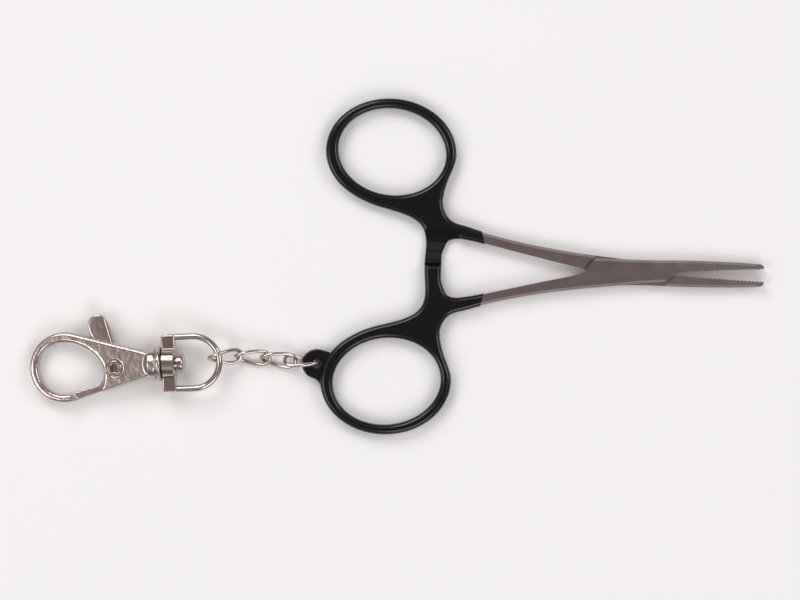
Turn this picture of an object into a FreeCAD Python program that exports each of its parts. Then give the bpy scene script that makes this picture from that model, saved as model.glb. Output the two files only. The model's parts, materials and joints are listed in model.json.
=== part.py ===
import FreeCAD, Part
import math
import os

from FreeCAD import Placement, Rotation, Vector

# Locking forceps with a short chain and a swivel clasp, lying flat.
# The pivot axis is Z through the origin, the jaws point along +X, and the
# whole object rests on the plane z = 0. Lengths are in millimetres.
# A lever is drawn closed, with its handle on the +Y side and its jaw on the
# -Y side of the X axis, and is turned to its resting place at the end.

# Lever forgings
half_opening = 2.7            # degrees that each lever is turned from closed
box_thickness = 4.4
plate_thickness = 1.3         # each side of the female box
tongue_clearance = 0.05       # above and below the male tongue
wall_clearance = 0.12         # tongue to the walls of the slot
handle_end_distance = 8.7     # pivot to the plate's end towards the handles
jaw_end_distance = 11.7       # pivot to the plate's end towards the jaws
end_angle = 37.0              # slope of both plate ends
shoulder_gap = 0.3
handle_wall_reach = 7.9       # how far the slot's wall runs in from each crotch
jaw_wall_reach = 10.6
outer_bevel = 0.75
shoulder_bevel = 0.3
grip_steel_thickness = 3.8    # steel inside the coated grips
shank_outer = [(6.6, 9.8), (9.6, 9.0), (12.6, 8.35), (16.6, 7.55)]     # from the arm's inner face
shank_inner = [(6.6, 6.4), (9.6, 6.0), (12.6, 5.4), (16.6, 4.65)]
box_outer = [(-20, 5.25), (-10, 4.37), (0, 3.78), (6, 3.35)]
box_inner = [(-20, 1.7), (-15, 0.85)]
jaw_outer = [(-25.2, 3.05), (-17.2, 2.67), (-5.2, 1.83), (-1.6, 1.4)]  # from the jaw's tip

# Pivot pin
pin_radius = 1.4
pin_fit = 0.04

# Jaws
jaw_tip = 41.2
jaw_tip_land = 0.5            # plain end beyond the last tooth
jaw_tip_thickness = 2.6
jaw_taper_start = 17.0
tooth_pitch = 1.12
tooth_depth = 0.42
tooth_count = 23
jaw_gap = 0.08                # between the meshed teeth when closed

# Coated finger grips, outlines of the coat, measured from the arm's inner face
coat = 0.3
ring_hole_centre = (-16.5, 30.1)
ring_hole = (15.7, 12.55)     # half axes of the finger opening
ring_hole_tilt = -4.9
ring_centre = (-16.8, 30.0)
ring_outer = (18.95, 15.55)   # half axes of the ring's outside
ring_span = (-24, 240)        # degrees round the ring that stay clear of neck and web
neck_edge = [(2.2, 11.35), (0.7, 12.75), (-0.7, 15.9), (-0.65, 18.8)]
web_edge = [(-21.0, 14.4), (-16.7, 13.4), (-12.4, 12.4), (-9.1, 11.2), (-6.4, 9.2), (-5.0, 6.2)]
crotch_edge = [(0.8, 4.0), (1.45, 5.3), (3.0, 6.1), (5.1, 6.25)]
coat_end = [(10.8, 10.0), (12.2, 5.0)]
grip_round = 1.25

# Ratchet arms
arm_inner_radius = 52.6
arm_width = 4.8
arm_tip = -3.4
arm_corner = 0.6
arm_gap = 0.1                 # between the two arms' tooth tips
arm_step = 8.0                # where the arm is milled to half thickness
arm_step_slope = 0.8
arm_step_reach = 4.6          # how far the mill runs past the arm towards the box
ratchet_pitch = 2.7
ratchet_depth = 0.6
ratchet_first = 4.9
ratchet_teeth = 3

# Lug on the lower grip, measured from the arm's inner face
lug_centre = (-36.73, 24.6)
lug_radius = 4.3
lug_hole_radius = 1.35
lug_thickness = 1.6
lug_root = (-31.4, 21.7)
lug_flank_angle = 106.0       # where the round turns into the concave flank
lug_flank_radius = 3.0
lug_round = 0.5

# Chain
link_wire = 1.1
link_length = 11.0
link_half_width = 2.56        # on the wire's centreline
link_twist = 51.7
link_squareness = 0.8         # 1 is an ellipse, less is squarer
link_points = 16
link_offsets = [(-26.33, 1.52, 5.11), (-18.57, 1.49, 2.88),
                (-11.17, 1.01, 2.61), (-4.33, 0.57, 3.13)]    # from the lug's hole
link_yaws = [3.42, -2.73, -5.92, -5.14]
link_pitches = [25.7, 4.3, 1.4, 5.3]
link_rolls = [50.5, 48.9, 47.9, 112.8]

# Swivel clasp, drawn along X from its own origin at the collar
clasp_offset = (-46.95, -1.09)    # from the lug's hole
clasp_turn = 3.7
clasp_tilt = 4.7              # the clasp rests on its flange and on the hook's end
clasp_height = 4.99
collar_radius = 4.75
collar_start = -1.65
collar_corner = 0.3
collar_groove_radius = 4.2
flange_radius = 5.1
flange_start = 1.1
flange_end = 2.25
neck_flare_length = 1.5
neck_flare_radius = 2.9

# Bail
bail_gap = 0.15
bail_base_length = 3.96
bail_base_thickness = 3.4
bail_boss_radius = 4.6
bail_rod = 1.9
bail_half_width = 8.5
bail_end = 20.0
bail_round = 0.4
bail_bar_inset = 0.6

# Stud
stud_radius = 1.6
stud_fit = 0.06
stud_gap = 0.1
stud_shoulder_radius = 2.3
stud_shoulder_length = 0.6
stud_head_radius = 2.85
stud_head_length = 1.7
stud_head_round = 0.8
stud_depth = 4.0

# Clasp body
hook_centre = -26.1
hook_radius = 10.2
hook_end_thickness = 4.0      # the plate tapers from the rivet to the hook's far end
hook_end_angle = 40.0         # slope of the joint between hook and gate
body_thickness = 6.0
body_round = 0.95
neck_half_width = 3.6
neck_start = -1.5
opening_edge = [(-25.2, -7.75), (-29.6, -7.1), (-32.6, -4.3), (-33.8, 0.3), (-31.9, 5.2), (-26.9, 7.2),
                (-19.7, 5.4), (-16.0, 2.2), (-14.45, -1.7), (-14.75, -4.4), (-15.7, -7.6)]
slot_width = 2.8
slot_outline = [(-21.0, 18.0), (-18.3, 8.0), (-16.1, 1.5), (-18.0, -3.0), (-18.0, -10.0),
                (-9.6, -10.0), (-7.3, -3.5), (-7.3, 9.0), (-2.0, 18.0)]

# Trigger
trigger_thickness = 2.6
rivet_place = (-11.3, -0.7)
hub_radius = 3.6
tab_outline = [(-14.8, 0.4), (-17.7, 8.1), (-18.8, 12.5), (-17.3, 14.6), (-15.1, 14.8), (-13.2, 12.6),
               (-11.5, 6.5), (-8.3, 1.2)]
tab_bevel = 0.65              # ground flat along the tab's back
tab_bevel_line = [(-13.75, 15.0), (-11.2, 5.4)]
gate_outline = [(-14.2, -2.6), (-16.0, -5.5), (-24.3, -7.65), (-22.75, -9.55), (-14.5, -7.1), (-9.4, -3.75)]
trigger_round = 0.45
trigger_fit = 0.05

# Rivet
rivet_radius = 1.55
rivet_head_radius = 2.1
rivet_head_length = 0.55
rivet_head_round = 0.3
rivet_recess_radius = 2.5
rivet_recess_depth = 0.5
rivet_bore_radius = 1.15
rivet_bore_depth = 2.6

# Trigger spring
spring_wire = 0.4
spring_radius = 2.1
spring_turns = 2.25
spring_leg = 4.6              # along the tab
spring_fixed_leg = 3.5        # to the body
spring_pocket_radius = 2.6
spring_pocket_depth = 1.4
leg_window = [(0, -2.5), (5, -2.5), (5, 1.7), (2.2, 1.0), (0, 0)]
leg_groove_width = 0.6
leg_groove_end = 0.2

mid_height = box_thickness / 2
box_half_width = 3.9
crotch_gap = 0.15
jaw_crotch_end = 15.2


def wire_of(points):
    return Part.makePolygon([Vector(x, y, 0) for x, y in points] + [Vector(points[0][0], points[0][1], 0)])


def slab(outline, low, high):
    """Plate with a closed outline in plan, from one height to another."""
    face = Part.Face(outline)
    face.translate(Vector(0, 0, low))
    return face.extrude(Vector(0, 0, high - low))


def polygon_slab(points, low, high):
    return slab(wire_of(points), low, high)


def disc(centre, radius, low, high):
    return Part.makeCylinder(radius, high - low, Vector(centre[0], centre[1], low))


def curve_through(points):
    curve = Part.BSplineCurve()
    curve.interpolate([Vector(x, y, 0) for x, y in points])
    return curve


def shifted(points, distance):
    return [(x + distance, y) for x, y in points]


def on_handle(points):
    """Places given from the arm's inner face, as places from the pivot."""
    return shifted(points, -arm_inner_radius)


def ellipse_slab(centre, half_axes, tilt, low, high):
    ellipse = Part.Ellipse(Vector(0, 0, 0), half_axes[0], half_axes[1]).toShape()
    shape = slab(Part.Wire([ellipse]), low, high)
    shape.Placement = Placement(Vector(centre[0], centre[1], 0), Rotation(Vector(0, 0, 1), tilt))
    return shape


def touch_point(centre, half_axes, tilt, point, side):
    """Where a line from a point touches a tilted ellipse."""
    turn = math.radians(tilt)
    dx, dy = point[0] - centre[0], point[1] - centre[1]
    u = (dx * math.cos(turn) + dy * math.sin(turn)) / half_axes[0]
    v = (-dx * math.sin(turn) + dy * math.cos(turn)) / half_axes[1]
    angle = math.atan2(v, u) + side * math.acos(1 / math.hypot(u, v))
    ex, ey = half_axes[0] * math.cos(angle), half_axes[1] * math.sin(angle)
    return (centre[0] + ex * math.cos(turn) - ey * math.sin(turn),
            centre[1] + ex * math.sin(turn) + ey * math.cos(turn))


def upright_edges_near(shape, places):
    """The upright edge nearest to each place in plan."""
    upright = []
    for edge in shape.Edges:
        box = edge.BoundBox
        if box.ZLength > 0.5 and box.XLength < 0.01 and box.YLength < 0.01:
            upright.append(edge)
    chosen = []
    for x, y in places:
        place = Vector(x, y, 0)
        chosen.append(min(upright, key=lambda e: e.BoundBox.Center.distanceToPoint(place)))
    return chosen


def flat_edges_at(shape, heights):
    found = []
    for edge in shape.Edges:
        box = edge.BoundBox
        if box.ZLength < 0.001 and any(abs(box.ZMin - h) < 0.001 for h in heights):
            found.append(edge)
    return found


def fuse_all(shapes):
    return shapes[0].multiFuse(shapes[1:]).removeSplitter()


# Grips

def inset(points, amount):
    """Move each point of an open outline to its left-hand side."""
    moved = []
    last = len(points) - 1
    for index, (x, y) in enumerate(points):
        before, after = points[max(index - 1, 0)], points[min(index + 1, last)]
        dx, dy = after[0] - before[0], after[1] - before[1]
        size = math.hypot(dx, dy)
        moved.append((x - amount * dy / size, y + amount * dx / size))
    return moved


def arm_points(radius, heights):
    return [(-math.sqrt(radius ** 2 - y ** 2), y) for y in heights]


def ring_points():
    """Points round the ring's outside, from the neck to the web."""
    first, last = ring_span
    steps = 13
    points = []
    for step in range(steps + 1):
        angle = math.radians(first + (last - first) * step / steps)
        points.append((ring_centre[0] + ring_outer[0] * math.cos(angle),
                       ring_centre[1] + ring_outer[1] * math.sin(angle)))
    return points


def grip_outline(skin):
    """Ring, web, arm and the start of the shank as one closed outline."""
    shank_top = [(x, y + coat) for x, y in shank_outer[::-1]]
    shank_bottom = [(x, y - coat) for x, y in shank_inner]
    outside = on_handle(shank_top + neck_edge + ring_points() + web_edge)
    outside += arm_points(arm_inner_radius + arm_width, [3.0, 0.0, arm_tip])
    inside = arm_points(arm_inner_radius, [arm_tip, -0.5, 1.5]) + on_handle(crotch_edge + shank_bottom)
    outside, inside = inset(outside, skin), inset(inside, skin)
    tip = arm_tip + skin
    outside[-1] = (outside[-1][0], tip)
    inside[0] = (inside[0][0], tip)
    far_edge, near_edge = curve_through(outside).toShape(), curve_through(inside).toShape()
    tip_edge = Part.makeLine(Vector(*outside[-1], 0), Vector(*inside[0], 0))
    end_edge = Part.makeLine(Vector(*inside[-1], 0), Vector(*outside[0], 0))
    return Part.Wire([far_edge, tip_edge, near_edge, end_edge])


def ratchet_cutter(skin):
    """Everything that the mill takes off the arm's face."""
    crest = mid_height - arm_gap / 2 - skin
    root = crest - ratchet_depth
    above = box_thickness + 1
    profile = [(arm_step + arm_step_slope + skin, above), (arm_step + skin, root), (ratchet_first, root),
               (ratchet_first, crest)]
    for tooth in range(1, ratchet_teeth + 1):
        y = ratchet_first - tooth * ratchet_pitch
        profile += [(y, root), (y, crest)]
    profile += [(arm_tip - 5, crest), (arm_tip - 5, above)]
    start = -arm_inner_radius - 2 * arm_width
    face = Part.Face(Part.makePolygon([Vector(start, y, z) for y, z in profile + profile[:1]]))
    return face.extrude(Vector(2 * arm_width + arm_step_reach, 0, 0))


def coat_end_half(keep_handle):
    """Block on one side of the coat's end."""
    (x1, y1), (x2, y2) = on_handle(coat_end)
    slope = (x2 - x1) / (y2 - y1)
    top, bottom = (x1 + slope * (60 - y1), 60), (x1 + slope * (-20 - y1), -20)
    far = -120 if keep_handle else 60
    return polygon_slab([top, bottom, (far, -20), (far, 60)], -5, box_thickness + 5)


def lug_plate(skin):
    """Flat eye for the chain, blended into the ring by a concave flank."""
    low = mid_height - lug_thickness / 2 + skin
    high = mid_height + lug_thickness / 2 - skin
    radius, flank_radius = lug_radius - skin, lug_flank_radius + skin
    eye, (root_x, root_y) = on_handle([lug_centre, lug_root])
    centre, root = Vector(*eye, 0), Vector(root_x, root_y + skin, 0)
    start = Vector(*touch_point(eye, (radius, radius), 0, (root.x, root.y), -1), 0)
    turn = math.radians(lug_flank_angle)
    outward = Vector(math.cos(turn), math.sin(turn), 0)
    flank_start = centre + outward * radius
    flank_centre = centre + outward * (radius + flank_radius)
    half = math.radians((lug_flank_angle - 180) / 2)
    flank_middle = flank_centre + Vector(math.cos(half), math.sin(half), 0) * flank_radius
    flank_end = flank_centre + Vector(flank_radius, 0, 0)
    around = Part.Arc(start, centre + Vector(-radius, 0, 0), flank_start).toShape()
    flank = Part.Arc(flank_start, flank_middle, flank_end).toShape()
    inside = flank_end + Vector(2, 0, 0)
    lines = Part.makePolygon([flank_end, inside, root, start])
    plate = slab(Part.Wire([around, flank] + lines.Edges), low, high)
    rim = []
    for edge in flat_edges_at(plate, [low, high]):
        if edge.BoundBox.XMax < inside.x - 0.5 or edge.BoundBox.YMax < root.y + 0.1:
            rim.append(edge)
    return plate.makeFillet(lug_round - skin / 2, rim)


def grip_solid(skin, with_lug):
    """Ring, web and ratchet arm; a skin above zero gives the steel inside."""
    low, high = skin, box_thickness - skin
    body = slab(grip_outline(skin), low, high)
    hole_centre, eye = on_handle([ring_hole_centre, lug_centre])
    arm_sides = [(-arm_inner_radius, arm_tip), (-arm_inner_radius - arm_width, arm_tip)]
    body = body.makeFillet(arm_corner, upright_edges_near(body, arm_sides))
    hole_axes = (ring_hole[0] + skin, ring_hole[1] + skin)
    body = body.cut(ellipse_slab(hole_centre, hole_axes, ring_hole_tilt, low, high))
    body = body.makeFillet(grip_round - skin, flat_edges_at(body, [low, high]))
    body = body.cut(ratchet_cutter(skin))
    if with_lug:
        body = body.fuse(lug_plate(skin)).removeSplitter()
        body = body.cut(disc(eye, lug_hole_radius + skin, -1, box_thickness + 1))
    return body.common(coat_end_half(True))


# Steel levers

def end_point(distance, y):
    """Point at a given y on the line of a plate's end."""
    slope = math.radians(end_angle)
    return (distance / math.cos(slope) + math.tan(slope) * y, y)


def side_profile():
    """Thickness of a lever seen from the side."""
    thin = (box_thickness - grip_steel_thickness) / 2
    tip = (box_thickness - jaw_tip_thickness) / 2
    shank_end = -handle_end_distance - 6
    coat_x = on_handle(coat_end)[0][0]
    lower = [(coat_x - 20, thin), (coat_x, thin), (shank_end, 0), (jaw_taper_start, 0), (jaw_tip + 1, tip)]
    upper = [(x, box_thickness - z) for x, z in reversed(lower)]
    points = lower + upper + lower[:1]
    face = Part.Face(Part.makePolygon([Vector(x, -20, z) for x, z in points]))
    return face.extrude(Vector(0, 40, 0))


def envelope():
    """Both levers' common outline when closed, bevelled along its long edges."""
    points = on_handle(shank_outer) + box_outer + shifted(jaw_outer, jaw_tip)
    mirrored = [(x, -y) for x, y in points]
    top, bottom = curve_through(points).toShape(), curve_through(mirrored).toShape()
    tip_x, tip_y = points[-1]
    tip = Part.Arc(Vector(tip_x, tip_y, 0), Vector(jaw_tip, 0, 0), Vector(tip_x, -tip_y, 0)).toShape()
    left = Part.makeLine(Vector(*mirrored[0], 0), Vector(*points[0], 0))
    outline = Part.Wire(Part.__sortEdges__([top, tip, bottom, left]))
    blank = slab(outline, 0, box_thickness).common(side_profile())
    long_edges = []
    for edge in blank.Edges:
        box = edge.BoundBox
        beside = abs(box.Center.y) > 0.5 and box.XLength > 1 and box.YLength < 0.9 * box.XLength
        flat = box.ZLength < 0.2 * box.XLength and abs(box.Center.z - mid_height) > 0.8
        if beside and flat:
            long_edges.append(edge)
    return blank.makeChamfer(outer_bevel, long_edges)


def tooth_line(phase):
    """Zigzag of the male jaw's face from the crotch to the tip, seen closed."""
    points = []
    start = jaw_tip - jaw_tip_land - tooth_count * tooth_pitch
    for step in range(2 * tooth_count + 1):
        rise = tooth_depth / 2 if step % 2 == 0 else -tooth_depth / 2
        points.append((start + (step - 0.5) * tooth_pitch / 2, rise + phase))
    points.append((points[-1][0] + tooth_pitch / 4, phase))
    return points


def handle_region(end_distance):
    """Plan of the male handle, up to its shoulder."""
    inner = on_handle(shank_inner) + box_inner
    crotch = end_point(-end_distance, crotch_gap)
    edge = curve_through(inner + [crotch]).toShape()
    top = end_point(-end_distance, 12)
    corner = Vector(inner[0][0], 12, 0)
    sides = Part.makePolygon([Vector(*crotch, 0), Vector(*top, 0), corner, Vector(*inner[0], 0)])
    return slab(Part.Wire([edge] + sides.Edges), -1, box_thickness + 1)


def jaw_region(end_distance):
    """Plan of the male jaw, from its shoulder."""
    teeth = tooth_line(-jaw_gap / 2)
    start = end_point(end_distance, -jaw_gap / 2 - tooth_depth / 2)
    teeth = [p for p in teeth if p[0] > start[0] + 0.3]
    points = [end_point(end_distance, -12), start] + teeth + [(jaw_tip + 3, teeth[-1][1]), (jaw_tip + 3, -12)]
    return polygon_slab(points, -1, box_thickness + 1)


def between_walls(inset, low, high):
    """Where the slot runs through the box, from wall to wall."""
    handle_crotch = end_point(-handle_end_distance, 0)[0]
    jaw_crotch = end_point(jaw_end_distance, 0)[0]
    reach = 9.0
    handle_slope = handle_wall_reach / box_half_width
    jaw_slope = jaw_wall_reach / box_half_width
    h_shift = inset * math.hypot(1, handle_slope)
    j_shift = inset * math.hypot(1, jaw_slope)
    points = [(handle_crotch + h_shift - handle_slope * reach, reach),
              (handle_crotch + h_shift + handle_slope * reach, -reach),
              (jaw_crotch - j_shift + jaw_slope * reach, -reach),
              (jaw_crotch - j_shift - jaw_slope * reach, reach)]
    return polygon_slab(points, low, high)


def shoulder_bevelled(shape, distance, bevel):
    """Bevel the shape's end that faces the plate."""
    chosen = []
    turn = math.radians(end_angle)
    for edge in flat_edges_at(shape, [0, box_thickness]):
        middle = edge.CenterOfMass
        along = middle.x * math.cos(turn) - middle.y * math.sin(turn)
        if abs(along - distance) < 0.02:
            chosen.append(edge)
    return shape.makeChamfer(bevel, chosen)


def male_lever():
    blank = envelope()
    handle_end = handle_end_distance + shoulder_gap
    jaw_end = jaw_end_distance + shoulder_gap
    handle = shoulder_bevelled(blank.common(handle_region(handle_end)), -handle_end, shoulder_bevel)
    jaw = shoulder_bevelled(blank.common(jaw_region(jaw_end)), jaw_end, shoulder_bevel)
    low = plate_thickness + tongue_clearance
    tongue = blank.common(between_walls(wall_clearance, low, box_thickness - low))
    tongue = tongue.cut(jaw_window())
    steel = fuse_all([handle, tongue, jaw])
    steel = steel.common(coat_end_half(False))
    steel = steel.fuse(grip_solid(coat, False)).removeSplitter()
    return steel.cut(disc((0, 0), pin_radius + pin_fit, -1, box_thickness + 1))


def jaw_window():
    """Space of the other jaw and its teeth beyond the box."""
    start = end_point(jaw_end_distance, 0)[0]
    return polygon_slab([(start, -0.35), (jaw_tip + 3, -0.35), (jaw_tip + 3, 12), (start - 6, 12)], -1,
                        box_thickness + 1)


def female_region():
    """Plan of the female lever when closed, with its handle below the X axis."""
    inner = on_handle(shank_inner) + box_inner
    crotch = end_point(-handle_end_distance, 0)
    edge = curve_through([(x, -y) for x, y in inner] + [crotch]).toShape()
    teeth = [p for p in tooth_line(jaw_gap / 2) if p[0] > jaw_crotch_end]
    jaw_crotch = end_point(jaw_end_distance, 0)
    points = [crotch, end_point(-handle_end_distance, 12), (jaw_tip + 3, 12), (jaw_tip + 3, teeth[-1][1])]
    points += teeth[::-1] + [(jaw_crotch[0] + 0.4, teeth[0][1]), jaw_crotch,
                             end_point(jaw_end_distance, -14), (inner[0][0], -14),
                             (inner[0][0], -inner[0][1])]
    sides = Part.makePolygon([Vector(x, y, 0) for x, y in points])
    return slab(Part.Wire([edge] + sides.Edges), -1, box_thickness + 1)


def female_lever():
    steel = envelope().common(female_region())
    steel = steel.cut(between_walls(0, plate_thickness, box_thickness - plate_thickness))
    steel = steel.common(flip(coat_end_half(False)))
    steel = steel.fuse(flip(grip_solid(coat, True))).removeSplitter()
    return steel.cut(disc((0, 0), pin_radius, -1, box_thickness + 1))


def flip(shape):
    """Turn a shape over about the X axis at half height."""
    turned = shape.copy()
    turned.Placement = Placement(Vector(0, 0, box_thickness), Rotation(Vector(1, 0, 0), 180)).multiply(
        turned.Placement)
    return turned


def grip_coat(with_lug):
    return grip_solid(0, with_lug).cut(grip_solid(coat, with_lug))


def turned(shape, degrees):
    shape.rotate(Vector(0, 0, 0), Vector(0, 0, 1), degrees)
    return shape


# Chain

def link_centreline():
    """Closed curve of one curb link, twisted from its +X end to its -X end."""
    half_length = (link_length - link_wire) / 2
    points = []
    for step in range(link_points):
        angle = 2 * math.pi * step / link_points
        along = half_length * math.copysign(abs(math.cos(angle)) ** link_squareness, math.cos(angle))
        aside = link_half_width * math.copysign(abs(math.sin(angle)) ** link_squareness, math.sin(angle))
        twist = math.radians(link_twist * along / (2 * half_length))
        points.append(Vector(along, aside * math.cos(twist), -aside * math.sin(twist)))
    curve = Part.BSplineCurve()
    curve.interpolate(Points=points, PeriodicFlag=True)
    return curve


def lug_hole():
    """Where the lug's hole is when the forceps rest."""
    [(x, y)] = on_handle([lug_centre])
    turn = math.radians(half_opening)
    return Vector(x * math.cos(turn) + y * math.sin(turn), x * math.sin(turn) - y * math.cos(turn), 0)


def chain_link(offset, yaw, pitch, roll):
    """One link, swept as two halves of its closed wire."""
    curve = link_centreline()
    first, last = curve.FirstParameter, curve.LastParameter
    middle = (first + last) / 2
    halves = []
    for start, end in ((first, middle), (middle, last)):
        section = Part.Circle(curve.value(start), curve.tangent(start)[0], link_wire / 2).toShape()
        path = Part.Wire([curve.toShape(start, end)])
        halves.append(path.makePipeShell([Part.Wire([section])], True, True))
    link = halves[0].fuse(halves[1])
    for axis, angle in ((Vector(1, 0, 0), roll), (Vector(0, 1, 0), pitch), (Vector(0, 0, 1), yaw)):
        link.rotate(Vector(0, 0, 0), axis, angle)
    link.translate(lug_hole() + Vector(*offset))
    return link


# Swivel clasp

def rod_along(start, end, radius):
    return Part.makeCylinder(radius, end - start, Vector(start, 0, 0), Vector(1, 0, 0))


def turned_profile(profile):
    """Solid of revolution about the swivel axis from (x, radius) points."""
    points = [(profile[0][0], 0)] + profile + [(profile[-1][0], 0), (profile[0][0], 0)]
    face = Part.Face(Part.makePolygon([Vector(x, radius, 0) for x, radius in points]))
    return face.revolve(Vector(0, 0, 0), Vector(1, 0, 0), 360)


bail_start = flange_end + bail_gap
bail_bar_end = bail_start + bail_base_length


def swivel_bail():
    """Flat bar with a round bored boss, and a rod bent round into a D."""
    width = 2 * bail_half_width - bail_bar_inset
    bar = Part.makeBox(bail_base_length, width, bail_base_thickness,
                       Vector(bail_start, -width / 2, -bail_base_thickness / 2))
    bar = bar.makeFillet(bail_round, bar.Edges)
    boss = turned_profile([(bail_start, bail_boss_radius - bail_round),
                           (bail_start + bail_round, bail_boss_radius),
                           (bail_bar_end - bail_round, bail_boss_radius),
                           (bail_bar_end, bail_boss_radius - bail_round)])
    bend = bail_half_width - bail_rod / 2
    bend_x = bail_end - bail_half_width
    bar_middle = (bail_start + bail_bar_end) / 2
    upper_start, upper_end = Vector(bar_middle, bend, 0), Vector(bend_x, bend, 0)
    lower_start, lower_end = Vector(bar_middle, -bend, 0), Vector(bend_x, -bend, 0)
    path = Part.Wire([Part.makeLine(upper_start, upper_end),
                      Part.Arc(upper_end, Vector(bend_x + bend, 0, 0), lower_end).toShape(),
                      Part.makeLine(lower_end, lower_start)])
    section = Part.Wire([Part.Circle(upper_start, Vector(1, 0, 0), bail_rod / 2).toShape()])
    rod = path.makePipeShell([section], True, False)
    bail = fuse_all([bar, boss, rod])
    return bail.cut(rod_along(bail_start - 1, bail_bar_end + 1, stud_radius + stud_fit))


def swivel_stud():
    """Headed stud that holds the bail."""
    shoulder_start = bail_bar_end + stud_gap
    head_start = shoulder_start + stud_shoulder_length
    head_end = head_start + stud_head_length
    shank = rod_along(collar_start - stud_depth, shoulder_start, stud_radius)
    shoulder = rod_along(shoulder_start, head_start, stud_shoulder_radius)
    head = rod_along(head_start, head_end, stud_head_radius)
    rim = [e for e in head.Edges if e.BoundBox.XLength < 0.01 and e.BoundBox.XMin > head_end - 0.01]
    return fuse_all([shank, shoulder, head.makeFillet(stud_head_round, rim)])


def clasp_outline():
    """Hook, cheeks and neck as one closed outline."""
    flank = math.atan2(hook_radius - neck_half_width, neck_start - hook_centre)
    touch = Vector(hook_centre + hook_radius * math.sin(flank), hook_radius * math.cos(flank), 0)
    end_inner, corner = Vector(*opening_edge[0], 0), Vector(*opening_edge[-1], 0)
    slope = math.radians(hook_end_angle)
    direction = Vector(math.cos(slope), -math.sin(slope), 0)
    out = end_inner - Vector(hook_centre, 0, 0)
    along = out.dot(direction)
    end_outer = end_inner + direction * (math.sqrt(along ** 2 + hook_radius ** 2 - out.dot(out)) - along)
    neck_top, neck_bottom = Vector(neck_start, neck_half_width, 0), Vector(neck_start, -neck_half_width, 0)
    around = Part.Arc(touch, Vector(hook_centre - hook_radius, 0, 0), end_outer).toShape()
    return Part.Wire([Part.makeLine(neck_top, touch), around, Part.makeLine(end_outer, end_inner),
                      curve_through(opening_edge).toShape(), Part.makeLine(corner, neck_bottom),
                      Part.makeLine(neck_bottom, neck_top)])


def clasp_side():
    """The clasp plate's thickness seen from the side, thinner towards the hook's end."""
    far = hook_centre - hook_radius
    taper = (body_thickness - hook_end_thickness) / 2 / (rivet_place[0] - far)
    start, end = far - 5, 5
    half_start, half_end = [hook_end_thickness / 2 + taper * (x - far) for x in (start, end)]
    points = [(start, half_start), (end, half_end), (end, -half_end), (start, -half_start)]
    face = Part.Face(Part.makePolygon([Vector(x, -20, z) for x, z in points + points[:1]]))
    return face.extrude(Vector(0, 40, 0))


def clasp_plate():
    """Hook and cheeks with their long edges rounded."""
    plate = slab(clasp_outline(), -body_thickness, body_thickness).common(clasp_side())
    rims = [e for e in plate.Edges if e.BoundBox.XLength > 4 and abs(e.BoundBox.Center.z) > 1]
    return plate.makeFillet(body_round, rims)


def clasp_body():
    """Die-cast hook, cheeks, neck and collar in one piece."""
    half_body = body_thickness / 2
    corner = collar_corner
    flare = turned_profile([(collar_start - neck_flare_length, neck_flare_radius),
                            (collar_start, collar_radius - corner)])
    collar = turned_profile([(collar_start, collar_radius - corner), (collar_start + corner, collar_radius),
                             (flange_start - 2 * corner, collar_radius),
                             (flange_start - corner, collar_groove_radius),
                             (flange_start, collar_groove_radius), (flange_start, flange_radius - corner),
                             (flange_start + corner, flange_radius), (flange_end - corner, flange_radius),
                             (flange_end, flange_radius - corner)])
    body = fuse_all([clasp_plate(), flare, collar])
    body = body.cut(polygon_slab(slot_outline, -slot_width / 2, slot_width / 2))
    body = body.cut(disc(rivet_place, rivet_radius, -half_body - 1, half_body + 1))
    body = body.cut(disc(rivet_place, rivet_recess_radius, half_body - rivet_recess_depth, half_body + 1))
    body = body.cut(disc(rivet_place, rivet_recess_radius, -half_body - 1, rivet_recess_depth - half_body))
    return body.cut(rod_along(collar_start - stud_depth, bail_start, stud_radius))


def clasp_rivet():
    """Semi-tubular rivet with a rolled rim."""
    seat = body_thickness / 2 - rivet_recess_depth
    end = seat + rivet_head_length
    shank = disc(rivet_place, rivet_radius, -seat, seat)
    near = disc(rivet_place, rivet_head_radius, seat, end)
    far = disc(rivet_place, rivet_head_radius, -end, -seat)
    bore = disc(rivet_place, rivet_bore_radius, end - rivet_bore_depth, end + 1)
    rivet = fuse_all([shank, near, far]).cut(bore)
    return rivet.makeFillet(rivet_head_round, flat_edges_at(rivet, [-end, end]))


def tab_back_cutter():
    """Prism that bevels the tab's back edge."""
    start, end = [Vector(x, y, trigger_thickness / 2) for x, y in tab_bevel_line]
    outward = (end - start).cross(Vector(0, 0, 1)).normalize() * -tab_bevel
    up = Vector(0, 0, tab_bevel)
    corners = [start - outward, start + outward * 3 - up * 4, start + outward * 3 + up, start - outward + up]
    return Part.Face(Part.makePolygon(corners + corners[:1])).extrude(end - start)


def clasp_trigger():
    """Thumb tab, hub and gate bar, cut from one plate."""
    half = trigger_thickness / 2
    tab_side = curve_through(tab_outline).toShape()
    tab_base = Part.makeLine(Vector(*tab_outline[-1], 0), Vector(*tab_outline[0], 0))
    tab = slab(Part.Wire([tab_side, tab_base]), -half, half)
    gate = polygon_slab(gate_outline, -half, half)
    rims = [e for e in flat_edges_at(tab, [-half, half]) if e.Length > 12]
    tab = tab.makeFillet(trigger_round, rims).cut(tab_back_cutter())
    plate = fuse_all([disc(rivet_place, hub_radius, -half, half), tab, gate])
    plate = plate.cut(disc(rivet_place, rivet_radius + trigger_fit, -half - 1, half + 1))
    floor = half - spring_pocket_depth
    plate = plate.cut(disc(rivet_place, spring_pocket_radius, floor, half + 1))
    x, y = rivet_place
    plate = plate.cut(polygon_slab([(x + dx, y + dy) for dx, dy in leg_window], floor, half + 1))
    left, right = x - spring_radius - leg_groove_width / 2, x - spring_radius + leg_groove_width / 2
    top = y + spring_leg + leg_groove_end
    groove = [(left, y), (right, y), (right, top), (left, top)]
    return plate.cut(polygon_slab(groove, half - 2 * spring_wire, half + 1))


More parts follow.
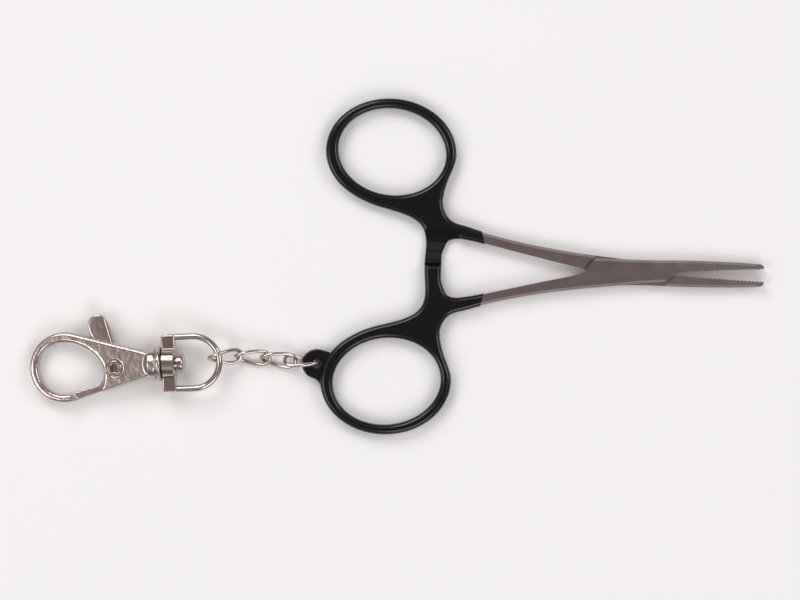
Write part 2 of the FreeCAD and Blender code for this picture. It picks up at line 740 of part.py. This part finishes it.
def trigger_spring():
    """Torsion coil round the rivet with a leg on the body and one on the tab."""
    low = trigger_thickness / 2 - spring_pocket_depth + spring_wire / 2 + 0.02
    high = low + spring_turns * (spring_wire + 0.05)
    points = [Vector(x, -spring_radius, low) for x in (spring_fixed_leg, spring_fixed_leg / 2)]
    steps = round(spring_turns * 12)
    for step in range(steps + 1):
        angle = math.radians(-90 - 360 * spring_turns * step / steps)
        points.append(Vector(spring_radius * math.cos(angle), spring_radius * math.sin(angle),
                             low + (high - low) * step / steps))
    points += [Vector(-spring_radius, spring_leg / 2, high), Vector(-spring_radius, spring_leg, high)]
    curve = Part.BSplineCurve()
    curve.interpolate(points)
    section = Part.Circle(points[0], Vector(1, 0, 0), spring_wire / 2).toShape()
    wire = Part.Wire([curve.toShape()]).makePipeShell([Part.Wire([section])], True, False)
    wire.translate(Vector(*rivet_place, 0))
    return wire


def on_clasp(shape):
    """Set a clasp piece at its place behind the chain, leaning on the hook's end."""
    shape.rotate(Vector(0, 0, 0), Vector(0, 1, 0), -clasp_tilt)
    shape.rotate(Vector(0, 0, 0), Vector(0, 0, 1), clasp_turn)
    shape.translate(lug_hole() + Vector(*clasp_offset, clasp_height))
    return shape


def pivot_pin():
    return disc((0, 0), pin_radius, 0, box_thickness)


def all_parts():
    parts = {
        "female_lever": turned(female_lever(), half_opening),
        "lower_grip": turned(flip(grip_coat(True)), half_opening),
        "pivot_pin": pivot_pin(),
        "male_lever": turned(male_lever(), -half_opening),
        "upper_grip": turned(grip_coat(False), -half_opening),
        "swivel_bail": on_clasp(swivel_bail()),
        "swivel_stud": on_clasp(swivel_stud()),
        "clasp_body": on_clasp(clasp_body()),
        "clasp_rivet": on_clasp(clasp_rivet()),
        "clasp_trigger": on_clasp(clasp_trigger()),
        "trigger_spring": on_clasp(trigger_spring()),
    }
    for index, place in enumerate(zip(link_offsets, link_yaws, link_pitches, link_rolls)):
        parts[f"chain_link_{index + 1}"] = chain_link(*place)
    return parts


def main():
    os.makedirs("parts", exist_ok=True)
    for name, shape in all_parts().items():
        shape.Solids[0].exportStep(f"parts/{name}.step")


if __name__ == "__main__":
    main()
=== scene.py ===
import json
import math

import bpy
from bpy.props import FloatProperty, FloatVectorProperty, IntProperty, PointerProperty
from mathutils import Matrix, Vector

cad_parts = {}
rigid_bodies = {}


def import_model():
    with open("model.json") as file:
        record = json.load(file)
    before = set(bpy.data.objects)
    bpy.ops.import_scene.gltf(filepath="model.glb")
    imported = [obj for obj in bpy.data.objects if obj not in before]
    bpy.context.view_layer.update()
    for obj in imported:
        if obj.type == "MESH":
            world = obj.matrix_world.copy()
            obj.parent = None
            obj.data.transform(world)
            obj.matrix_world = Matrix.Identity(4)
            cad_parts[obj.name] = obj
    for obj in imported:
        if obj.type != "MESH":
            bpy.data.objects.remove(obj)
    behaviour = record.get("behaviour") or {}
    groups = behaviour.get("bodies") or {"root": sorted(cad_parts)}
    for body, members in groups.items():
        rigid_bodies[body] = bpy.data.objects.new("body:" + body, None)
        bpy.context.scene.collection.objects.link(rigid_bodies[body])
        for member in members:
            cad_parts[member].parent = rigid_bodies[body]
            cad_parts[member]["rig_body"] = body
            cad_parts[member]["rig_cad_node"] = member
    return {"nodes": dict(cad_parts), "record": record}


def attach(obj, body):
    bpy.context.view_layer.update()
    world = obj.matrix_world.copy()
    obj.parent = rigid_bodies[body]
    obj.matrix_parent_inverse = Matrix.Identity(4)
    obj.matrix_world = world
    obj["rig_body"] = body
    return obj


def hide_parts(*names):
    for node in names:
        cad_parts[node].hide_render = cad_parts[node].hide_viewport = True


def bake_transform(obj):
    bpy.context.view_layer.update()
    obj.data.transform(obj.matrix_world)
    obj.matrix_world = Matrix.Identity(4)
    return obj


bl_info = {
    "name": "Locking forceps with chain and clasp",
    "version": (1, 0, 0),
    "blender": (4, 5, 0),
    "location": "View3D > Sidebar > Forceps",
    "description": "Dresses the forceps, their chain and their swivel clasp",
    "category": "Object",
}

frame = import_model()
NODES = frame["nodes"]
BODY_OF = {node: body for body, nodes in frame["record"]["behaviour"]["bodies"].items() for node in nodes}
MM = 0.001

DOUBLES = 0.002 * MM            # corners closer than this are one
PIN_RADIUS_KEPT = 2 * MM        # no edge is eased this near to the box lock's axis

# Pattern sizes on the surfaces
GRINDING_PITCH = 0.2 * MM       # drawn coarser than the real 0.05 mm, so that the lines show
GRINDING_DEPTH = 0.02 * MM
TUMBLED_CLOUD = 5 * MM
DIP_WAVE = 3 * MM
DIP_WAVE_HEIGHT = 0.12 * MM
SKIN_WAVE = 2.6 * MM
SKIN_PORE = 0.5 * MM
WIRE_WAVE_HEIGHT = 0.02 * MM
CASTING_WAVE_HEIGHT = 0.11 * MM

# Room seen in the metals, by height from the horizon at 0 to straight up at 1
ROOM_TONES = (
    (0.0, (0.34, 0.335, 0.33)),
    (0.26, (0.24, 0.235, 0.235)),
    (0.42, (0.09, 0.09, 0.09)),
    (0.6, (0.26, 0.26, 0.26)),
    (0.78, (0.62, 0.61, 0.6)),
    (0.92, (0.38, 0.33, 0.33)),
    (1.0, (0.185, 0.145, 0.15)),
)

# Compass angles of the lamps in degrees, the strongest first
KEY_AZIMUTH = 120
FILL_AZIMUTHS = (("right", 20), ("front", -70), ("left", -160))

# Photograph: 800 by 600 pixels, 0.2906 mm each, rolled 1.4 degrees about the view axis
FRAME_WIDTH = 800 * 0.2906 * MM
FRAME_CENTRE = Vector((-64.30, -9.65, 2.2)) * MM
ROLL = math.radians(1.4)
LENS = 140.0


def linear(hex_colour):
    """Linear RGBA of an sRGB hex colour."""
    channels = [int(hex_colour[i:i + 2], 16) / 255 for i in (1, 3, 5)]
    return [c / 12.92 if c <= 0.04045 else ((c + 0.055) / 1.055) ** 2.4 for c in channels] + [1.0]


def colour_property(name, description, hex_colour):
    return FloatVectorProperty(name=name, description=description, default=linear(hex_colour)[:3],
                               subtype="COLOR", size=3, min=0.0, max=1.0)


class ForcepsFinish(bpy.types.PropertyGroup):
    steel: colour_property("Steel", "Stainless steel of the levers", "#a79b9c")
    steel_roughness: FloatProperty(name="Steel roughness", description="Satin of the ground steel",
                                   default=0.28, min=0.0, max=1.0)
    coat: colour_property("Coat", "Vinyl dip on the finger grips", "#080909")
    coat_roughness: FloatProperty(name="Coat roughness", description="Gloss of the vinyl dip",
                                  default=0.2, min=0.0, max=1.0)
    nickel: colour_property("Nickel", "Plating of the chain and clasp", "#c6b9b3")
    nickel_roughness: FloatProperty(name="Nickel roughness", description="Polish of the plated wire",
                                    default=0.14, min=0.0, max=1.0)
    casting_roughness: FloatProperty(name="Casting roughness", description="Polish of the plated castings",
                                     default=0.22, min=0.0, max=1.0)


class ForcepsSizes(bpy.types.PropertyGroup):
    steel_edge: FloatProperty(name="Steel edge", description="Rounding left on the ground edges",
                              default=0.08 * MM, unit="LENGTH")
    cast_grain: FloatProperty(name="Cast grain", description="Cell size of the remeshed casting",
                              default=0.18 * MM, unit="LENGTH")
    cast_softening: IntProperty(name="Cast softening", description="Smoothing passes on the casting",
                                default=5)


class ForcepsStage(bpy.types.PropertyGroup):
    floor: colour_property("Floor", "Table top under the object", "#f2f1f0")
    floor_size: FloatProperty(name="Floor size", description="Side of the square table top",
                              default=6.0, unit="LENGTH")
    key_power: FloatProperty(name="Key power", description="Watts of the strongest soft lamp", default=5.0)
    fill_power: FloatProperty(name="Fill power", description="Watts of each other lamp", default=3.2)
    lamp_distance: FloatProperty(name="Lamp distance", description="From the object to each lamp",
                                 default=1.2, unit="LENGTH")
    lamp_size: FloatProperty(name="Lamp size", description="Side of each square lamp",
                             default=0.6, unit="LENGTH")
    lamp_height: FloatProperty(name="Lamp height", description="Angle of the lamps above the table",
                               default=math.radians(46), subtype="ANGLE")


def add_node(tree, kind, links=None, **settings):
    """Adds a node, sets its properties and sockets, and links the given outputs to its inputs."""
    node = tree.nodes.new(kind)
    for key, value in settings.items():
        socket = key.replace("_", " ")
        if hasattr(node, key):
            setattr(node, key, value)
        else:
            node.inputs[socket].default_value = value
    for name, source in (links or {}).items():
        tree.links.new(source, node.inputs[name])
    return node


def colour_ramp(tree, factor, stops):
    """Colour ramp through (position, RGB) stops in rising order."""
    ramp = add_node(tree, "ShaderNodeValToRGB", {"Fac": factor})
    elements = ramp.color_ramp.elements
    for element, (position, colour) in ((elements[0], stops[0]), (elements[1], stops[-1])):
        element.position = position
        element.color = rgba(colour)
    for position, colour in stops[1:-1]:
        elements.new(position).color = rgba(colour)
    return ramp


def new_material(name):
    """Material with an empty Principled shader, its tree and that shader."""
    material = bpy.data.materials.new(name)
    material.use_nodes = True
    tree = material.node_tree
    return material, tree, tree.nodes["Principled BSDF"]


def rgba(colour):
    return (*colour, 1.0)


def darker(colour, factor):
    return tuple(c * factor for c in colour)


def satin_stainless(finish):
    """Forged martensitic stainless steel, belt ground along the instrument and tumbled.

    The grinding leaves fine lines along X, and tumbling leaves faint cloudy patches.
    """
    material, tree, shader = new_material("satin ground stainless steel")
    place = add_node(tree, "ShaderNodeTexCoord")
    stretched = add_node(tree, "ShaderNodeMapping", {"Vector": place.outputs["Object"]})
    stretched.inputs["Scale"].default_value = (0.05, 1.0, 1.0)
    lines = add_node(tree, "ShaderNodeTexNoise", {"Vector": stretched.outputs[0]},
                     Scale=1 / GRINDING_PITCH, Detail=2.0)
    clouds = add_node(tree, "ShaderNodeTexNoise", {"Vector": place.outputs["Object"]},
                      Scale=1 / TUMBLED_CLOUD, Detail=3.0)
    tone = add_node(tree, "ShaderNodeMix", {"Factor": clouds.outputs["Fac"]}, data_type="RGBA")
    tone.inputs["A"].default_value = rgba(darker(finish.steel, 0.7))
    tone.inputs["B"].default_value = rgba(darker(finish.steel, 1.25))
    tree.links.new(tone.outputs["Result"], shader.inputs["Base Color"])
    bump = add_node(tree, "ShaderNodeBump", {"Height": lines.outputs["Fac"]},
                    Strength=0.5, Distance=GRINDING_DEPTH)
    tree.links.new(bump.outputs["Normal"], shader.inputs["Normal"])
    shader.inputs["Metallic"].default_value = 1.0
    shader.inputs["Roughness"].default_value = finish.steel_roughness
    return material


def vinyl_dip(finish):
    """Black plasticised PVC, dipped and cured, so glossy with slow waves in its skin."""
    material, tree, shader = new_material("glossy black vinyl dip")
    place = add_node(tree, "ShaderNodeTexCoord")
    waves = add_node(tree, "ShaderNodeTexNoise", {"Vector": place.outputs["Object"]},
                     Scale=1 / DIP_WAVE, Detail=2.0)
    bump = add_node(tree, "ShaderNodeBump", {"Height": waves.outputs["Fac"]},
                    Strength=0.25, Distance=DIP_WAVE_HEIGHT)
    tree.links.new(bump.outputs["Normal"], shader.inputs["Normal"])
    shader.inputs["Base Color"].default_value = rgba(finish.coat)
    shader.inputs["Roughness"].default_value = finish.coat_roughness
    shader.inputs["IOR"].default_value = 1.5
    return material


def nickel_shader(name, finish, roughness, waviness):
    """Warm bright nickel; waviness in metres is the height of the slow waves under it."""
    material, tree, shader = new_material(name)
    place = add_node(tree, "ShaderNodeTexCoord")
    slow = add_node(tree, "ShaderNodeTexNoise", {"Vector": place.outputs["Object"]},
                    Scale=1 / SKIN_WAVE, Detail=2.0)
    fine = add_node(tree, "ShaderNodeTexNoise", {"Vector": place.outputs["Object"]},
                    Scale=1 / SKIN_PORE, Detail=3.0)
    tone = add_node(tree, "ShaderNodeMix", {"Factor": slow.outputs["Fac"]}, data_type="RGBA")
    tone.inputs["A"].default_value = rgba(darker(finish.nickel, 0.8))
    tone.inputs["B"].default_value = rgba(darker(finish.nickel, 1.1))
    tree.links.new(tone.outputs["Result"], shader.inputs["Base Color"])
    rough = add_node(tree, "ShaderNodeMapRange", {"Value": fine.outputs["Fac"]})
    rough.inputs["To Min"].default_value = roughness * 0.6
    rough.inputs["To Max"].default_value = roughness * 1.4
    tree.links.new(rough.outputs["Result"], shader.inputs["Roughness"])
    waves = add_node(tree, "ShaderNodeBump", {"Height": slow.outputs["Fac"]},
                     Strength=1.0, Distance=waviness)
    pores = add_node(tree, "ShaderNodeBump",
                     {"Height": fine.outputs["Fac"], "Normal": waves.outputs["Normal"]},
                     Strength=1.0, Distance=waviness / 20)
    tree.links.new(pores.outputs["Normal"], shader.inputs["Normal"])
    shader.inputs["Metallic"].default_value = 1.0
    return material


def plated_wire(finish):
    """Nickel-plated steel wire and turned parts, barrel polished."""
    return nickel_shader("bright nickel-plated steel", finish, finish.nickel_roughness, WIRE_WAVE_HEIGHT)


def plated_casting(finish):
    """Nickel plated over die-cast zinc, whose polishing leaves an uneven skin."""
    return nickel_shader("nickel-plated zinc die casting", finish, finish.casting_roughness,
                         CASTING_WAVE_HEIGHT)


def shared_material(make, finish):
    """The material that a maker function gives, made once."""
    key = make.__name__
    if key not in MADE:
        MADE[key] = make(finish)
    return MADE[key]


MADE = {}


def select_only(obj):
    bpy.ops.object.select_all(action="DESELECT")
    obj.select_set(True)
    bpy.context.view_layer.objects.active = obj


def merged_copy(node, name):
    """Copy of a CAD node with its doubled corners merged."""
    select_only(NODES[node])
    bpy.ops.object.duplicate()
    piece = bpy.context.active_object
    piece.name = name
    piece.parent = None
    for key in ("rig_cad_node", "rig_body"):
        if key in piece:
            del piece[key]
    bpy.ops.object.mode_set(mode="EDIT")
    bpy.ops.mesh.select_all(action="SELECT")
    bpy.ops.mesh.remove_doubles(threshold=DOUBLES)
    bpy.ops.mesh.customdata_custom_splitnormals_clear()
    bpy.ops.object.mode_set(mode="OBJECT")
    return piece


def dress(piece, node, material):
    """Gives a piece its material and slot, in its node's stead."""
    piece.data.materials.clear()
    piece.data.materials.append(material)
    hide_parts(node)


def finish_piece(piece, node, material):
    """Dresses a piece and sets it on its node's body."""
    dress(piece, node, material)
    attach(piece, BODY_OF[node])


def wind_spring(piece):
    """Bakes the spring's placement into its mesh; the coil does not follow the trigger."""
    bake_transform(piece)


def apply_modifier(piece, kind, **settings):
    select_only(piece)
    bpy.ops.object.modifier_add(type=kind)
    modifier = piece.modifiers[-1]
    for key, value in settings.items():
        setattr(modifier, key, value)
    bpy.ops.object.modifier_apply(modifier=modifier.name)


def smooth(piece, degrees):
    """Smooth shading up to an angle, with the large flats kept flat to the eye."""
    select_only(piece)
    bpy.ops.object.shade_smooth_by_angle(angle=math.radians(degrees))
    apply_modifier(piece, "WEIGHTED_NORMAL", mode="FACE_AREA", weight=50, keep_sharp=True)


def soften_casting(piece, sizes):
    """Remeshes a casting on a fine grid and rounds its edges as its die and polishing do."""
    apply_modifier(piece, "REMESH", mode="VOXEL", voxel_size=sizes.cast_grain)
    apply_modifier(piece, "SMOOTH", factor=0.5, iterations=sizes.cast_softening)
    smooth(piece, 60)


def ease_edges(piece, width, clear_of_pivot):
    """Breaks the sharp edges, apart from those round the polished-over pivot pin."""
    select_only(piece)
    bpy.ops.object.mode_set(mode="EDIT")
    bpy.ops.mesh.select_all(action="SELECT")
    bpy.ops.mesh.dissolve_limited(angle_limit=math.radians(0.5))
    bpy.ops.mesh.select_all(action="DESELECT")
    bpy.ops.mesh.select_mode(type="EDGE")
    bpy.ops.mesh.edges_select_sharp(sharpness=math.radians(35))
    bpy.ops.object.mode_set(mode="OBJECT")
    mesh = piece.data
    weights = mesh.attributes.new("bevel_weight_edge", "FLOAT", "EDGE")
    for edge in mesh.edges:
        ends = [mesh.vertices[index].co for index in edge.vertices]
        if edge.select and all(end.xy.length > clear_of_pivot for end in ends):
            weights.data[edge.index].value = 1.0
    apply_modifier(piece, "BEVEL", width=width, segments=2, limit_method="WEIGHT", harden_normals=False)


class FORCEPS_OT_levers(bpy.types.Operator):
    """Steel levers with their box lock, jaws and pivot pin"""
    bl_idname = "forceps.levers"
    bl_label = "Steel levers"

    def execute(self, context):
        material = shared_material(satin_stainless, context.scene.forceps_finish)
        edge = context.scene.forceps_sizes.steel_edge
        for node in ("female_lever", "male_lever", "pivot_pin"):
            piece = merged_copy(node, node + "_steel")
            if node != "pivot_pin":
                ease_edges(piece, edge, clear_of_pivot=PIN_RADIUS_KEPT)
            smooth(piece, 30)
            finish_piece(piece, node, material)
        return {"FINISHED"}


class FORCEPS_OT_grips(bpy.types.Operator):
    """Vinyl-dipped finger grips"""
    bl_idname = "forceps.grips"
    bl_label = "Dipped grips"

    def execute(self, context):
        material = shared_material(vinyl_dip, context.scene.forceps_finish)
        for node in ("lower_grip", "upper_grip"):
            piece = merged_copy(node, node + "_coat")
            smooth(piece, 35)
            finish_piece(piece, node, material)
        return {"FINISHED"}


class FORCEPS_OT_chain(bpy.types.Operator):
    """Twisted chain links"""
    bl_idname = "forceps.chain"
    bl_label = "Chain"

    def execute(self, context):
        material = shared_material(plated_wire, context.scene.forceps_finish)
        for number in range(1, 5):
            node = f"chain_link_{number}"
            piece = merged_copy(node, f"link_{number}_wire")
            smooth(piece, 60)
            finish_piece(piece, node, material)
        return {"FINISHED"}


class FORCEPS_OT_swivel(bpy.types.Operator):
    """Swivel bail and its stud"""
    bl_idname = "forceps.swivel"
    bl_label = "Swivel"

    def execute(self, context):
        material = shared_material(plated_wire, context.scene.forceps_finish)
        for node in ("swivel_bail", "swivel_stud"):
            piece = merged_copy(node, node + "_plated")
            smooth(piece, 35)
            finish_piece(piece, node, material)
        return {"FINISHED"}


class FORCEPS_OT_clasp(bpy.types.Operator):
    """Clasp body, trigger, rivet and spring"""
    bl_idname = "forceps.clasp"
    bl_label = "Clasp"

    def execute(self, context):
        finish = context.scene.forceps_finish
        for node in ("clasp_body", "clasp_trigger"):
            piece = merged_copy(node, node + "_cast")
            soften_casting(piece, context.scene.forceps_sizes)
            finish_piece(piece, node, shared_material(plated_casting, finish))
        rivet = merged_copy("clasp_rivet", "clasp_rivet_plated")
        smooth(rivet, 35)
        finish_piece(rivet, "clasp_rivet", shared_material(plated_wire, finish))
        spring = merged_copy("trigger_spring", "trigger_spring_plated")
        smooth(spring, 35)
        dress(spring, "trigger_spring", shared_material(plated_wire, finish))
        wind_spring(spring)
        return {"FINISHED"}


class FORCEPS_OT_stage(bpy.types.Operator):
    """Table top, soft lamps and camera"""
    bl_idname = "forceps.stage"
    bl_label = "Stage"

    def execute(self, context):
        stage = context.scene.forceps_stage
        bpy.ops.object.select_all(action="DESELECT")
        bpy.ops.mesh.primitive_plane_add(size=stage.floor_size, location=(0, 0, 0))
        floor = context.active_object
        floor.name = "table_top"
        material, tree, shader = new_material("matt white table top")
        shader.inputs["Base Color"].default_value = rgba(stage.floor)
        shader.inputs["Roughness"].default_value = 0.9
        floor.data.materials.append(material)
        lamps = [("key", KEY_AZIMUTH, stage.key_power)]
        lamps += [(name, azimuth, stage.fill_power) for name, azimuth in FILL_AZIMUTHS]
        for name, azimuth, power in lamps:
            turn = math.radians(azimuth)
            level = math.cos(stage.lamp_height)
            outward = Vector((level * math.cos(turn), level * math.sin(turn), math.sin(stage.lamp_height)))
            bpy.ops.object.light_add(type="AREA", location=FRAME_CENTRE + outward * stage.lamp_distance)
            lamp = context.active_object
            lamp.name = name
            lamp.data.size = stage.lamp_size
            lamp.data.energy = power
            lamp.rotation_mode = "QUATERNION"
            lamp.rotation_quaternion = outward.to_track_quat("Z", "Y")
        self.make_world(context)
        self.make_camera(context)
        context.scene.view_settings.view_transform = "Standard"
        return {"FINISHED"}

    def make_world(self, context):
        """Grey room with a pale ring high on its walls and a darker ceiling."""
        world = bpy.data.worlds.new("grey room")
        world.use_nodes = True
        tree = world.node_tree
        place = add_node(tree, "ShaderNodeTexCoord")
        height = add_node(tree, "ShaderNodeSeparateXYZ", {"Vector": place.outputs["Generated"]})
        ramp = colour_ramp(tree, height.outputs["Z"], ROOM_TONES)
        tree.links.new(ramp.outputs["Color"], tree.nodes["Background"].inputs["Color"])
        context.scene.world = world

    def make_camera(self, context):
        camera = bpy.data.cameras.new("overhead camera")
        camera.lens = LENS
        camera.clip_start = 0.05
        distance = FRAME_WIDTH * LENS / camera.sensor_width
        holder = bpy.data.objects.new("overhead camera", camera)
        context.scene.collection.objects.link(holder)
        holder.location = FRAME_CENTRE + Vector((0, 0, distance))
        holder.rotation_euler = (0, 0, ROLL)
        context.scene.camera = holder


class FORCEPS_PT_panel(bpy.types.Panel):
    bl_idname = "FORCEPS_PT_panel"
    bl_label = "Forceps"
    bl_space_type = "VIEW_3D"
    bl_region_type = "UI"
    bl_category = "Forceps"

    def draw(self, context):
        for group in ("forceps_finish", "forceps_sizes", "forceps_stage"):
            settings = getattr(context.scene, group)
            for key in settings.__annotations__:
                self.layout.prop(settings, key)
        for step in STEPS:
            self.layout.operator(step.bl_idname)


STEPS = (FORCEPS_OT_levers, FORCEPS_OT_grips, FORCEPS_OT_chain, FORCEPS_OT_swivel, FORCEPS_OT_clasp,
         FORCEPS_OT_stage)
CLASSES = (ForcepsFinish, ForcepsSizes, ForcepsStage) + STEPS + (FORCEPS_PT_panel,)


def register():
    for cls in CLASSES:
        bpy.utils.register_class(cls)
    bpy.types.Scene.forceps_finish = PointerProperty(type=ForcepsFinish)
    bpy.types.Scene.forceps_sizes = PointerProperty(type=ForcepsSizes)
    bpy.types.Scene.forceps_stage = PointerProperty(type=ForcepsStage)


def unregister():
    del bpy.types.Scene.forceps_stage
    del bpy.types.Scene.forceps_sizes
    del bpy.types.Scene.forceps_finish
    for cls in reversed(CLASSES):
        bpy.utils.unregister_class(cls)


def main():
    register()
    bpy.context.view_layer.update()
    bpy.ops.forceps.levers()
    bpy.ops.forceps.grips()
    bpy.ops.forceps.chain()
    bpy.ops.forceps.swivel()
    bpy.ops.forceps.clasp()
    bpy.ops.forceps.stage()


if __name__ == "__main__":
    main()
